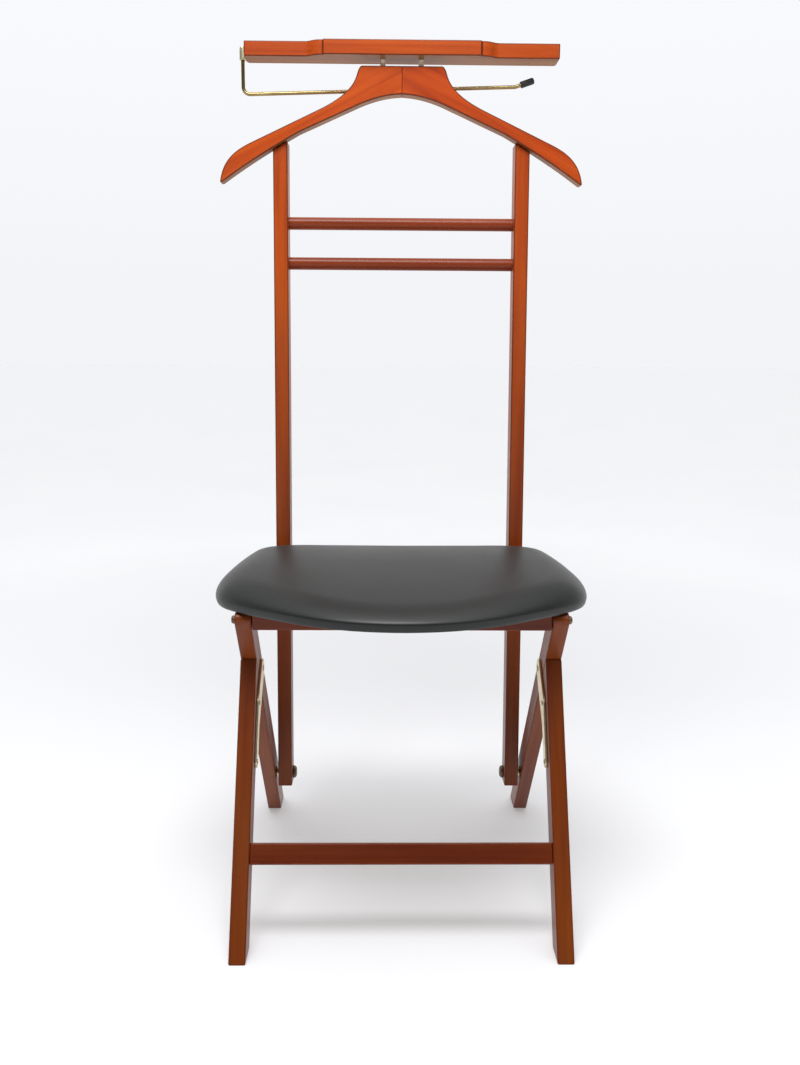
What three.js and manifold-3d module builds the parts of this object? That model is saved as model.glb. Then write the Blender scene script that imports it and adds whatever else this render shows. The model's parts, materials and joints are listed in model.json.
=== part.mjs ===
// Folding valet stand: a chair-height seat on two pairs of folding legs, with a back that
// carries a coat hanger, a trinket tray and a swinging trouser rod.
//
// Millimetres, +Z up, +X to the right of someone facing the stand, +Y to its rear.
// The origin is on the floor, at the centre of the footprint.

import * as THREE from 'three';
import { mergeVertices } from 'three/addons/utils/BufferGeometryUtils.js';
import Module from 'manifold-3d';

const wasm = await Module();
wasm.setup();

// ---------------------------------------------------------------- driving dimensions

const GAP = 0.3;                  // between pieces that touch on the real stand
const PIN_CLEARANCE = 0.4;        // radial, between a pin and its hole

const FOOTPRINT_DEPTH = 460;
const FRAME_HALF_WIDTH = 200;     // centre plane to the outer face of a leg
const BAR_WIDTH = 20;             // legs and uprights, side to side
const BAR_DEPTH = 33;             // legs and uprights, front to back
const FRONT_LEG_LEAN = 25.5;      // degrees from vertical, foot forward
const REAR_LEG_LEAN = 39.5;       // degrees from vertical, foot to the rear
const BACK_LEAN = 3.2;            // degrees from vertical, top to the rear

const SEAT_PIVOT = { y: -114.5, z: 380 };
const BACK_PIVOT = { y: 136, z: 82 };

const UPRIGHT_HALF_WIDTH = 176;   // centre plane to the outer face of an upright
const UPRIGHT_FRONT = -21.1;      // front face of an upright, from the back pivot
const UPRIGHT_FOOT = -14.5;       // lower end of an upright, from the back pivot
const SOCKET_DEPTH = 12;          // blind holes for rungs and tenons

const RUNG_RADIUS = 8.5;
const TENON_RADIUS = 5;
const RUNG_HEIGHTS = { lower: 737, upper: 791.5 };   // along the uprights, from the pivot

const BACK_RAIL = { width: 18, height: 20, z: 376, y: 148 };

const HANGER = { front: 158, thickness: 22, top: 1076.5, neckHalf: 55, tipX: 248.5, tipZ: 924 };
const TRAY = { halfWidth: 212.5, bottom: 1087, thickness: 19.5, rear: 195, front: 158 };
const TRAY_BOW = { out: 12, flatHalf: 106, endHalf: 131 };
const STANDOFF = { x: 26, y: 170, radius: 3.6, hole: 1.9 };

const ROD_RADIUS = 2.5;
const ROD_PIVOT = { x: -217.3, y: 185 };
const ROD_TOP = 1103;
const ROD_CORNER_Z = 1044;        // where the upright leg and the long run would meet
const ROD_RISE = 2;               // degrees that the long run climbs to the right
const ROD_END_RISE = 19;          // degrees that the free end is turned up
const ROD_END_X = 156;            // where the free end turns up
const ROD_END_LENGTH = 22;
const ROD_TIP_LENGTH = 19;
const ROD_BEND = 9;

const SEAT_BOTTOM_CLEARANCE = 0.4; // board above the tops of the rear legs
const BOARD_THICKNESS = 12;
const BOARD_INSET = 9.4;
const CUSHION_HEIGHT = 46;
const FRONT_DROP = { height: 24, from: 80, to: -212 };   // the top falls towards the front edge
const FRONT_RAIL = { front: -121.5, thickness: 20, bottom: 368.5, halfWidth: 179.2 };

// ---------------------------------------------------------------- materials

const material = (color, roughness, metalness) =>
  () => new THREE.MeshStandardMaterial({ color, roughness, metalness });

const beech = material(0xa8502a, 0.35, 0);
const plywood = material(0xc79c68, 0.7, 0);
const brass = material(0xc9ad74, 0.3, 1);
const steel = material(0xa9a79f, 0.4, 1);
const vinyl = material(0x2f3231, 0.5, 0);
const rubber = material(0x151515, 0.8, 0);

// ---------------------------------------------------------------- geometry helpers

const radians = THREE.MathUtils.degToRad;
const sin = (degrees) => Math.sin(radians(degrees));
const cos = (degrees) => Math.cos(radians(degrees));
const tan = (degrees) => Math.tan(radians(degrees));
const point = (x, y) => new THREE.Vector2(x, y);

const AXIS = {
  x: new THREE.Vector3(1, 0, 0),
  y: new THREE.Vector3(0, 1, 0),
  z: new THREE.Vector3(0, 0, 1),
};

/** Makes sure that the faces point out of the solid. */
function facingOut(geometry) {
  const flat = geometry.index ? geometry.toNonIndexed() : geometry;
  const p = flat.attributes.position;
  const [a, b, c] = [new THREE.Vector3(), new THREE.Vector3(), new THREE.Vector3()];
  let volume = 0;
  for (let i = 0; i < p.count; i += 3) {
    a.fromBufferAttribute(p, i);
    b.fromBufferAttribute(p, i + 1);
    c.fromBufferAttribute(p, i + 2);
    volume += a.dot(b.cross(c));
  }
  if (volume < 0) {
    for (let i = 0; i < p.count; i += 3) {
      b.fromBufferAttribute(p, i + 1);
      c.fromBufferAttribute(p, i + 2);
      p.setXYZ(i + 1, c.x, c.y, c.z);
      p.setXYZ(i + 2, b.x, b.y, b.z);
    }
  }
  flat.deleteAttribute('normal');
  flat.deleteAttribute('uv');
  return mergeVertices(flat, 1e-4);
}

function toManifold(geometry) {
  const closed = facingOut(geometry);
  const mesh = new wasm.Mesh({
    numProp: 3,
    vertProperties: new Float32Array(closed.attributes.position.array),
    triVerts: new Uint32Array(closed.index.array),
  });
  return new wasm.Manifold(mesh);
}

function fromManifold(solid) {
  const mesh = solid.getMesh();
  const geometry = new THREE.BufferGeometry();
  geometry.setAttribute('position', new THREE.BufferAttribute(mesh.vertProperties, 3));
  geometry.setIndex(new THREE.BufferAttribute(mesh.triVerts, 1));
  return geometry;
}

/** Takes every tool solid away from a body. */
function cut(body, tools) {
  let solid = toManifold(body);
  for (const tool of tools) solid = solid.subtract(toManifold(tool));
  return fromManifold(solid);
}

function join(bodies) {
  let solid = toManifold(bodies[0]);
  for (const body of bodies.slice(1)) solid = solid.add(toManifold(body));
  return fromManifold(solid);
}

/** A closed outline of points, extruded. */
function prism(outline, depth) {
  return new THREE.ExtrudeGeometry(new THREE.Shape(outline), { depth, bevelEnabled: false });
}

/** An outline given as (y, z), extruded along X from the lower x to the higher one. */
function prismAlongX(outline, xA, xB) {
  const geometry = prism(outline, Math.abs(xB - xA));
  geometry.applyMatrix4(new THREE.Matrix4().makeBasis(AXIS.y, AXIS.z, AXIS.x));
  return geometry.translate(Math.min(xA, xB), 0, 0);
}

/** An outline given as (x, z), extruded along Y from the lower y to the higher one. */
function prismAlongY(outline, yA, yB) {
  const geometry = prism(outline, yB - yA);
  geometry.rotateX(Math.PI / 2);
  return geometry.translate(0, yB, 0);
}

function block(xA, xB, yA, yB, zA, zB) {
  const geometry = new THREE.BoxGeometry(Math.abs(xB - xA), Math.abs(yB - yA), Math.abs(zB - zA));
  return geometry.translate((xA + xB) / 2, (yA + yB) / 2, (zA + zB) / 2);
}

/** A cylinder along X. */
function pinAlongX(radius, xA, xB, y, z, sides = 20) {
  const geometry = new THREE.CylinderGeometry(radius, radius, Math.abs(xB - xA), sides);
  geometry.rotateZ(Math.PI / 2);
  return geometry.translate((xA + xB) / 2, y, z);
}

/** A cylinder along Z. */
function pinAlongZ(radius, zA, zB, x, y, sides = 20) {
  const geometry = new THREE.CylinderGeometry(radius, radius, Math.abs(zB - zA), sides);
  geometry.rotateX(Math.PI / 2);
  return geometry.translate(x, y, (zA + zB) / 2);
}

/** A turned piece: its profile is given as [radius, height], and it stands along +Z. */
function turned(profile, sides = 20) {
  const geometry = new THREE.LatheGeometry(profile.map(([r, h]) => point(r, h)), sides);
  return facingOut(geometry.rotateX(Math.PI / 2));
}

/** A round-headed fastener, from the head's crown at height 0 down to its end at -length. */
function fastener({ headRadius, headHeight, shankRadius, length }, sides = 16) {
  return turned([
    [0, -length],
    [shankRadius, -length],
    [shankRadius, -headHeight],
    [headRadius, -headHeight],
    [headRadius, -headHeight * 0.45],
    [headRadius * 0.7, 0],
    [0, 0],
  ], sides);
}

/** Turns a fastener that stands along +Z so that its head faces +X or -X. */
function headTowardsX(geometry, sign) {
  return geometry.rotateY(sign * Math.PI / 2);
}

/** The convex outline round a set of circles, each given as [centre, radius]. */
function hullOutline(circles, sides = 20) {
  const points = circles.flatMap(([centre, radius]) => Array.from({ length: sides }, (_, i) => {
    const angle = 2 * Math.PI * (i + 0.5) / sides;
    return point(centre.x + radius * Math.cos(angle), centre.y + radius * Math.sin(angle));
  }));
  points.sort((a, b) => a.x - b.x || a.y - b.y);
  const turn = (o, a, b) => (a.x - o.x) * (b.y - o.y) - (a.y - o.y) * (b.x - o.x);
  const halfHull = (list) => {
    const hull = [];
    for (const p of list) {
      while (hull.length > 1 && turn(hull.at(-2), hull.at(-1), p) <= 1e-9) hull.pop();
      hull.push(p);
    }
    return hull.slice(0, -1);
  };
  return [...halfHull(points), ...halfHull([...points].reverse())];
}

function mesh(name, geometry, makeMaterial) {
  const part = new THREE.Mesh(facingOut(geometry), makeMaterial());
  part.name = name;
  return part;
}

const SIDES = [['left', -1], ['right', 1]];

// ---------------------------------------------------------------- leg geometry

const LEG_INNER = FRAME_HALF_WIDTH - BAR_WIDTH;
const UPRIGHT_INNER = UPRIGHT_HALF_WIDTH - BAR_WIDTH;
const FRONT_FOOT = -FOOTPRINT_DEPTH / 2;
const REAR_HEEL = FOOTPRINT_DEPTH / 2;
const REAR_TOE = REAR_HEEL - BAR_DEPTH / cos(REAR_LEG_LEAN);
const FRONT_HEEL = FRONT_FOOT + BAR_DEPTH / cos(FRONT_LEG_LEAN);

/** Unit vectors in the side view, as (y, z): up each leg, and to the rear across it. */
const frontUp = point(sin(FRONT_LEG_LEAN), cos(FRONT_LEG_LEAN));
const frontRearward = point(cos(FRONT_LEG_LEAN), -sin(FRONT_LEG_LEAN));
const rearUp = point(-sin(REAR_LEG_LEAN), cos(REAR_LEG_LEAN));
const rearRearward = point(cos(REAR_LEG_LEAN), sin(REAR_LEG_LEAN));

/** The point at the given distances up and across a leg from one point of its foot. */
const along = (foot, up, rearward, height, depth) =>
  point(foot, 0).addScaledVector(up, height).addScaledVector(rearward, depth);

/** Where a leg's long face meets another plane, both given by a point and a direction. */
function meeting(a, directionA, b, directionB) {
  const cross = directionA.x * directionB.y - directionA.y * directionB.x;
  const t = ((b.x - a.x) * directionB.y - (b.y - a.y) * directionB.x) / cross;
  return a.clone().addScaledVector(directionA, t);
}

const rearFaceOfFrontLeg = point(FRONT_HEEL, 0);
const frontFaceOfRearLeg = point(REAR_TOE, 0);

/** The leg hinge is as deep behind the front leg's face as behind the rear leg's. */
const legHinge = meeting(
  along(FRONT_HEEL, frontUp, frontRearward, 0, BAR_DEPTH / 2), frontUp,
  along(REAR_TOE, rearUp, rearRearward, 0, BAR_DEPTH / 2), rearUp,
);

const seatPivot = point(SEAT_PIVOT.y, SEAT_PIVOT.z);
const backPivot = point(BACK_PIVOT.y, BACK_PIVOT.z);

/** The rear leg's nose is round about the seat pivot, so the seat can turn over it. */
const noseRadius = seatPivot.clone().sub(frontFaceOfRearLeg).dot(rearRearward);
const REAR_LEG_TOP = SEAT_PIVOT.z + noseRadius;
const SEAT_BOTTOM = REAR_LEG_TOP + SEAT_BOTTOM_CLEARANCE;

const BOLT_RADIUS = 3;
const bolts = {
  upper: along(FRONT_FOOT, frontUp, frontRearward, 303, 23),
  lower: along(FRONT_FOOT, frontUp, frontRearward, 231, 23),
};

// ---------------------------------------------------------------- rear legs (the base)

function rearLeg(side) {
  const outline = [point(REAR_TOE, 0), point(REAR_HEEL, 0)];
  outline.push(point(REAR_HEEL - REAR_LEG_TOP * tan(REAR_LEG_LEAN), REAR_LEG_TOP));
  const noseSteps = 8;
  const noseSweep = 90 + REAR_LEG_LEAN;
  for (let i = 0; i <= noseSteps; i += 1) {
    const angle = 90 + noseSweep * i / noseSteps;
    outline.push(point(seatPivot.x + noseRadius * cos(angle), seatPivot.y + noseRadius * sin(angle)));
  }
  const body = prismAlongX(outline, side * LEG_INNER, side * FRAME_HALF_WIDTH);
  const through = side * (FRAME_HALF_WIDTH + 1);
  const inside = side * (LEG_INNER - 1);
  const blindEnd = side * (FRAME_HALF_WIDTH - 3);
  const hole = BOLT_RADIUS + PIN_CLEARANCE;
  return cut(body, [
    pinAlongX(hole, inside, through, seatPivot.x, seatPivot.y),
    pinAlongX(hole, inside, blindEnd, backPivot.x, backPivot.y),
    pinAlongX(hole, inside, blindEnd, legHinge.x, legHinge.y),
  ]);
}

const SEAT_PIN = { headRadius: 5, headHeight: 4, shankRadius: BOLT_RADIUS, length: 44 };

function seatPin(side) {
  const pin = headTowardsX(fastener(SEAT_PIN), side);
  const crown = side * (FRAME_HALF_WIDTH + GAP + SEAT_PIN.headHeight);
  return pin.translate(crown, seatPivot.x, seatPivot.y);
}

const HINGE_SCREW = { headRadius: 4.2, headHeight: 0.8, shankRadius: BOLT_RADIUS, length: 18 };
const PLATE = { inner: 177.1, outer: 179.7, eye: 12, neck: 9, strap: 7.5 };

function hingeScrew(side) {
  const screw = headTowardsX(fastener(HINGE_SCREW), -side);
  const crown = side * (PLATE.inner - 0.1 - HINGE_SCREW.headHeight);
  return screw.translate(crown, legHinge.x, legHinge.y);
}

const BACK_BOLT = { headRadius: 9, headHeight: 5, shankRadius: BOLT_RADIUS, length: 44 };

function backBolt(side) {
  const bolt = headTowardsX(fastener(BACK_BOLT, 24), -side);
  const seatOfHead = UPRIGHT_HALF_WIDTH - BAR_WIDTH - GAP;
  return bolt.translate(side * (seatOfHead - BACK_BOLT.headHeight), backPivot.x, backPivot.y);
}

function backSpacer(side) {
  const washer = cut(
    pinAlongX(8, side * (UPRIGHT_HALF_WIDTH + GAP), side * (LEG_INNER - GAP), 0, 0, 24),
    [pinAlongX(BOLT_RADIUS + PIN_CLEARANCE, side * UPRIGHT_INNER, side * FRAME_HALF_WIDTH, 0, 0)],
  );
  return washer.translate(0, backPivot.x, backPivot.y);
}

function rearLegs() {
  const group = new THREE.Group();
  for (const [name, side] of SIDES) {
    group.add(
      mesh(`rear_leg_${name}`, rearLeg(side), beech),
      mesh(`seat_pivot_pin_${name}`, seatPin(side), brass),
      mesh(`leg_hinge_screw_${name}`, hingeScrew(side), brass),
      mesh(`back_pivot_bolt_${name}`, backBolt(side), brass),
      mesh(`back_pivot_spacer_${name}`, backSpacer(side), brass),
    );
  }
  return group;
}

// ---------------------------------------------------------------- front legs

const STRETCHER = { height: 25, thickness: 18, recess: 1.5, up: 123, tenon: 6 };
const stretcherCentre = along(
  FRONT_FOOT, frontUp, frontRearward,
  STRETCHER.up, STRETCHER.recess + STRETCHER.thickness / 2,
);

function frontLeg(side) {
  const stop = point(REAR_TOE, 0).addScaledVector(rearRearward, -GAP);
  const outline = [
    point(FRONT_FOOT, 0),
    point(FRONT_HEEL, 0),
    meeting(rearFaceOfFrontLeg, frontUp, stop, rearUp),
    meeting(point(FRONT_FOOT, 0), frontUp, stop, rearUp),
  ];
  const body = prismAlongX(outline, side * LEG_INNER, side * FRAME_HALF_WIDTH);
  const inside = side * (LEG_INNER - 1);
  const outside = side * (FRAME_HALF_WIDTH + 1);
  const hole = BOLT_RADIUS + PIN_CLEARANCE;
  const socketEnd = side * (LEG_INNER + SOCKET_DEPTH);
  return cut(body, [
    ...Object.values(bolts).map((b) => pinAlongX(hole, inside, outside, b.x, b.y)),
    pinAlongX(STRETCHER.tenon + PIN_CLEARANCE, inside, socketEnd, stretcherCentre.x, stretcherCentre.y),
  ]);
}

function frontStretcher() {
  const half = LEG_INNER - GAP;
  const bar = block(
    -half, half,
    -STRETCHER.thickness / 2, STRETCHER.thickness / 2,
    -STRETCHER.height / 2, STRETCHER.height / 2,
  );
  const tenonHalf = half + SOCKET_DEPTH - 1;
  const tenons = pinAlongX(STRETCHER.tenon, -tenonHalf, tenonHalf, 0, 0);
  return join([bar, tenons]);
}

/** A strap on the leg's inner face, widening to an eye on the rear leg. */
function hingePlate(side) {
  const knee = bolts.upper.clone().lerp(bolts.lower, 0.4);
  const flag = hullOutline([
    [legHinge, PLATE.eye], [bolts.upper, PLATE.neck], [knee, PLATE.strap - 1],
  ]);
  const strap = hullOutline([[bolts.upper, PLATE.strap], [bolts.lower, PLATE.strap]]);
  const [xA, xB] = [side * PLATE.inner, side * PLATE.outer];
  const plate = join([prismAlongX(flag, xA, xB), prismAlongX(strap, xA, xB)]);
  const holes = [legHinge, bolts.upper, bolts.lower]
    .map((c) => pinAlongX(BOLT_RADIUS + PIN_CLEARANCE, xA - side, xB + side, c.x, c.y));
  return cut(plate, holes);
}

/** A rivet through the front leg and the plate: a low head outside, a stub inside. */
function legRivet(side, centre) {
  const headHeight = 1.3;
  const stubEnd = 176.25;
  const crown = FRAME_HALF_WIDTH + GAP + headHeight;
  const rivet = fastener({
    headRadius: 5.6, headHeight, shankRadius: BOLT_RADIUS, length: crown - stubEnd,
  });
  return headTowardsX(rivet, side).translate(side * crown, centre.x, centre.y);
}

function frontLegs() {
  const group = new THREE.Group();
  for (const [name, side] of SIDES) {
    group.add(
      mesh(`front_leg_${name}`, frontLeg(side), beech),
      mesh(`hinge_plate_${name}`, hingePlate(side), brass),
    );
    for (const [level, centre] of Object.entries(bolts)) {
      group.add(mesh(`leg_rivet_${level}_${name}`, legRivet(side, centre), brass));
    }
  }
  const stretcher = mesh('front_stretcher', frontStretcher(), beech);
  stretcher.rotation.x = -radians(FRONT_LEG_LEAN);
  stretcher.position.set(0, stretcherCentre.x, stretcherCentre.y);
  group.add(stretcher);
  return group;
}

// ---------------------------------------------------------------- back frame

const UPRIGHT_MID = UPRIGHT_FRONT + BAR_DEPTH / 2;

/** A point of the side view, as (y, z), in the leaning back's own frame. */
function inBackFrame(y, z) {
  const from = point(y, z).sub(backPivot);
  return point(
    from.x * cos(BACK_LEAN) - from.y * sin(BACK_LEAN),
    from.x * sin(BACK_LEAN) + from.y * cos(BACK_LEAN),
  );
}

const SHOULDER = { x: 139, z: 990.5 };   // where the underside bends down to the tip

/** The hanger's outline as (x, z), for the half at +X, from its centre line round to it. */
function hangerHalfOutline() {
  const shape = new THREE.Shape();
  const { top, neckHalf, tipX, tipZ } = HANGER;
  shape.moveTo(GAP / 2, 1040);
  shape.quadraticCurveTo(30, 1039, 62, 1024.5);
  shape.lineTo(SHOULDER.x, SHOULDER.z);
  shape.quadraticCurveTo(200, 957, tipX - 4, tipZ + 1);
  shape.lineTo(tipX, tipZ);
  shape.bezierCurveTo(tipX - 3, tipZ + 22, 236, 962, 208, 975.5);
  shape.lineTo(118, 1017.5);
  shape.bezierCurveTo(86, 1032, 66, 1046, 60.5, 1067);
  shape.quadraticCurveTo(58.5, 1074, neckHalf, top);
  shape.lineTo(GAP / 2, top);
  return shape.extractPoints(7).shape;
}

/** Height of the hanger's underside above an upright, at distance x from the centre. */
const UNDERSIDE_FALL = 0.592;
const hangerUnderside = (x) => SHOULDER.z - (x - SHOULDER.x) * UNDERSIDE_FALL;

const DOWEL = { radius: 5, length: 22, y: 176 };
const dowelX = UPRIGHT_HALF_WIDTH - BAR_WIDTH / 2;
const dowelZ = hangerUnderside(dowelX) - 1;

function hangerHalf(side) {
  const outline = hangerHalfOutline().map((p) => point(side * p.x, p.y));
  const body = prismAlongY(outline, HANGER.front, HANGER.front + HANGER.thickness);
  const socket = pinAlongZ(
    DOWEL.radius + PIN_CLEARANCE, dowelZ - 20, dowelZ + DOWEL.length / 2 - 1,
    side * dowelX, DOWEL.y,
  );
  const screwHole = pinAlongZ(
    STANDOFF.hole, HANGER.top - 16, HANGER.top + 5, side * STANDOFF.x, STANDOFF.y, 12);
  return cut(body, [socket, screwHole]);
}

function hangerDowel(side) {
  const half = DOWEL.length / 2 - 1.5;
  return pinAlongZ(DOWEL.radius, dowelZ - half, dowelZ + half, side * dowelX, DOWEL.y);
}

/** An upright that is still too tall: the hanger's underside cuts its top off later. */
function upright(side) {
  const uncutTop = HANGER.top - BACK_PIVOT.z;
  const bar = block(
    side * UPRIGHT_INNER, side * UPRIGHT_HALF_WIDTH,
    UPRIGHT_FRONT, UPRIGHT_FRONT + BAR_DEPTH,
    UPRIGHT_FOOT, uncutTop,
  );
  const inside = side * (UPRIGHT_INNER - 1);
  const socketEnd = side * (UPRIGHT_INNER + SOCKET_DEPTH);
  const rail = inBackFrame(BACK_RAIL.y, BACK_RAIL.z);
  return cut(bar, [
    ...Object.values(RUNG_HEIGHTS).map(
      (z) => pinAlongX(RUNG_RADIUS + PIN_CLEARANCE, inside, socketEnd, UPRIGHT_MID, z, 24)),
    pinAlongX(TENON_RADIUS + PIN_CLEARANCE, inside, socketEnd, rail.x, rail.y),
    pinAlongX(BOLT_RADIUS + PIN_CLEARANCE, inside, side * (UPRIGHT_HALF_WIDTH + 1), 0, 0),
  ]);
}

/** The part of space above the hanger's underside, which the uprights stop short of. */
function aboveHanger(side) {
  const [near, far] = [UPRIGHT_INNER - 6, UPRIGHT_HALF_WIDTH + 6];
  const above = HANGER.top + 50;
  const outline = [
    point(side * near, hangerUnderside(near) - GAP),
    point(side * far, hangerUnderside(far) - GAP),
    point(side * far, above),
    point(side * near, above),
  ];
  return prismAlongY(outline, HANGER.front - 60, HANGER.front + 100);
}

/** Moves a geometry from the back's leaning frame to the stand's frame. */
function leaning(geometry) {
  return geometry.rotateX(-radians(BACK_LEAN)).translate(0, backPivot.x, backPivot.y);
}

function finishedUpright(side) {
  const socket = pinAlongZ(
    DOWEL.radius + PIN_CLEARANCE, dowelZ - DOWEL.length / 2 - 1, dowelZ + 40,
    side * dowelX, DOWEL.y,
  );
  return cut(leaning(upright(side)), [aboveHanger(side), socket]);
}

function rung(z) {
  const half = UPRIGHT_INNER + SOCKET_DEPTH - 1;
  return leaning(pinAlongX(RUNG_RADIUS, -half, half, UPRIGHT_MID, z, 24));
}

function backRail() {
  const half = UPRIGHT_INNER - GAP;
  const { y, z, width, height } = BACK_RAIL;
  const bar = block(-half, half, y - width / 2, y + width / 2, z - height / 2, z + height / 2);
  const tenonHalf = half + SOCKET_DEPTH - 1;
  return join([bar, pinAlongX(TENON_RADIUS, -tenonHalf, tenonHalf, y, z)]);
}

/** The tray seen from above: straight ends, and a middle that swells forward. */
function tray() {
  const { halfWidth, front, rear, bottom, thickness } = TRAY;
  const { out, flatHalf, endHalf } = TRAY_BOW;
  const corner = 5;
  const shape = new THREE.Shape();
  shape.moveTo(-halfWidth, front);
  shape.lineTo(-endHalf, front);
  shape.bezierCurveTo(-endHalf + 9, front, -endHalf + 9, front - out + 3, -flatHalf, front - out + 3);
  shape.lineTo(-flatHalf, front - out);
  shape.lineTo(flatHalf, front - out);
  shape.lineTo(flatHalf, front - out + 3);
  shape.bezierCurveTo(endHalf - 9, front - out + 3, endHalf - 9, front, endHalf, front);
  shape.lineTo(halfWidth, front);
  shape.lineTo(halfWidth, rear - corner);
  shape.absarc(halfWidth - corner, rear - corner, corner, 0, Math.PI / 2);
  shape.lineTo(-halfWidth + corner, rear);
  shape.absarc(-halfWidth + corner, rear - corner, corner, Math.PI / 2, Math.PI);
  const body = prism(shape.extractPoints(6).shape, thickness).translate(0, 0, bottom);
  const holes = SIDES.map(([, side]) => pinAlongZ(
    STANDOFF.hole, bottom - 1, bottom + thickness + 1, side * STANDOFF.x, STANDOFF.y, 12));
  const screwHoles = bracketScrewHeights.map((z) => pinAlongX(
    BRACKET_SCREW.shankRadius + PIN_CLEARANCE, -halfWidth - 1, -halfWidth + 9, BRACKET.screwY, z, 12));
  return cut(body, [...holes, ...screwHoles]);
}

function standoff(side) {
  const tube = cut(
    pinAlongZ(STANDOFF.radius, HANGER.top + GAP, TRAY.bottom - GAP, 0, 0),
    [pinAlongZ(STANDOFF.hole, HANGER.top - 1, TRAY.bottom + 1, 0, 0, 12)],
  );
  return tube.translate(side * STANDOFF.x, STANDOFF.y, 0);
}

function trayScrew(side) {
  const headHeight = 1.6;
  const crown = TRAY.bottom + TRAY.thickness + GAP + headHeight;
  const screw = fastener({
    headRadius: 4, headHeight, shankRadius: STANDOFF.hole - PIN_CLEARANCE, length: crown - HANGER.top + 14,
  });
  return screw.translate(side * STANDOFF.x, STANDOFF.y, crown);
}

const BRACKET = { thickness: 2, height: 13, yA: 166, yB: 190, eye: 4.5, screwY: 172 };
const BRACKET_SCREW = { headRadius: 2.6, headHeight: 1.2, shankRadius: 1.3, length: 10 };
const bracketBottom = TRAY.bottom + 1;
const bracketTop = bracketBottom + BRACKET.height;
const bracketScrewHeights = [bracketBottom + 3, bracketTop - 3];

/** A plate on the tray's left end with an eye that the rod's upright leg turns in. */
function rodBracket() {
  const plateFace = -TRAY.halfWidth - GAP;
  const { thickness, yA, yB, eye, screwY } = BRACKET;
  const [below, above] = [bracketBottom - 5, bracketTop + 5];
  const plate = block(plateFace - thickness, plateFace, yA, yB, bracketBottom, bracketTop);
  const barrel = pinAlongZ(eye, bracketBottom, bracketTop, ROD_PIVOT.x, ROD_PIVOT.y);
  const bore = pinAlongZ(ROD_RADIUS + PIN_CLEARANCE, below, above, ROD_PIVOT.x, ROD_PIVOT.y);
  const screwHoles = bracketScrewHeights.map((z) => pinAlongX(
    BRACKET_SCREW.shankRadius + PIN_CLEARANCE, plateFace - 5, plateFace + 5, screwY, z, 12));
  const beyondTray = block(plateFace, plateFace + 8, yA - 9, yB + 9, below, above);
  return cut(join([plate, barrel]), [bore, beyondTray, ...screwHoles]);
}

function bracketScrew(z) {
  const face = -TRAY.halfWidth - GAP - BRACKET.thickness - 0.2;
  const crown = face - BRACKET_SCREW.headHeight;
  return headTowardsX(fastener(BRACKET_SCREW, 12), -1).translate(crown, BRACKET.screwY, z);
}

function backFrame() {
  const group = new THREE.Group();
  for (const [name, side] of SIDES) {
    group.add(
      mesh(`upright_${name}`, finishedUpright(side), beech),
      mesh(`hanger_${name}`, hangerHalf(side), beech),
      mesh(`hanger_dowel_${name}`, hangerDowel(side), beech),
      mesh(`tray_standoff_${name}`, standoff(side), brass),
      mesh(`tray_screw_${name}`, trayScrew(side), brass),
    );
  }
  for (const [name, z] of Object.entries(RUNG_HEIGHTS)) {
    group.add(mesh(`rung_${name}`, rung(z), beech));
  }
  group.add(
    mesh('back_rail', backRail(), beech),
    mesh('tray', tray(), beech),
    mesh('rod_bracket', rodBracket(), brass),
  );
  bracketScrewHeights.forEach((z, i) => {
    group.add(mesh(`rod_bracket_screw_${i + 1}`, bracketScrew(z), brass));
  });
  return group;
}

// ---------------------------------------------------------------- trouser rod

/** A wire of straight runs and round bends, with few steps on the straight runs. */
class BentWire extends THREE.Curve {
  constructor(corners, bendRadius, bendSteps) {
    super();
    this.stations = [];
    corners.forEach((corner, i) => {
      if (i === 0 || i === corners.length - 1) {
        const other = corners[i === 0 ? 1 : i - 1];
        const tangent = other.clone().sub(corner).normalize().multiplyScalar(i === 0 ? 1 : -1);
        this.stations.push([corner, tangent]);
        return;
      }
      const into = corner.clone().sub(corners[i - 1]).normalize();
      const out = corners[i + 1].clone().sub(corner).normalize();
      const angle = into.angleTo(out);
      const setback = bendRadius * Math.tan(angle / 2);
      const inward = out.clone().sub(into).normalize();
      const centre = corner.clone().addScaledVector(inward, bendRadius / Math.cos(angle / 2));
      const start = corner.clone().addScaledVector(into, -setback).sub(centre);
      const axis = into.clone().cross(out).normalize();
      for (let k = 0; k <= bendSteps; k += 1) {
        const turnBy = angle * k / bendSteps;
        const at = start.clone().applyAxisAngle(axis, turnBy).add(centre);
        this.stations.push([at, into.clone().applyAxisAngle(axis, turnBy)]);
      }
    });
  }

  get steps() {
    return this.stations.length - 1;
  }

  getPointAt(t) {
    return this.stations[Math.round(t * this.steps)][0].clone();
  }

  getPoint(t) {
    return this.getPointAt(t);
  }

  getTangentAt(t) {
    return this.stations[Math.round(t * this.steps)][1].clone();
  }
}

function rodCorners() {
  const { x, y } = ROD_PIVOT;
  const runEndZ = ROD_CORNER_Z + (ROD_END_X - x) * tan(ROD_RISE);
  const endX = ROD_END_X + ROD_END_LENGTH * cos(ROD_END_RISE);
  const endZ = runEndZ + ROD_END_LENGTH * sin(ROD_END_RISE);
  return [
    new THREE.Vector3(x, y, ROD_TOP),
    new THREE.Vector3(x, y, ROD_CORNER_Z),
    new THREE.Vector3(ROD_END_X, y, runEndZ),
    new THREE.Vector3(endX, y, endZ),
  ];
}

function trouserRod() {
  const path = new BentWire(rodCorners(), ROD_BEND, 6);
  const section = Array.from({ length: 12 }, (_, i) =>
    point(ROD_RADIUS * cos(30 * i + 15), ROD_RADIUS * sin(30 * i + 15)));
  return new THREE.ExtrudeGeometry(new THREE.Shape(section), {
    steps: path.steps, extrudePath: path, bevelEnabled: false,
  });
}

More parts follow.
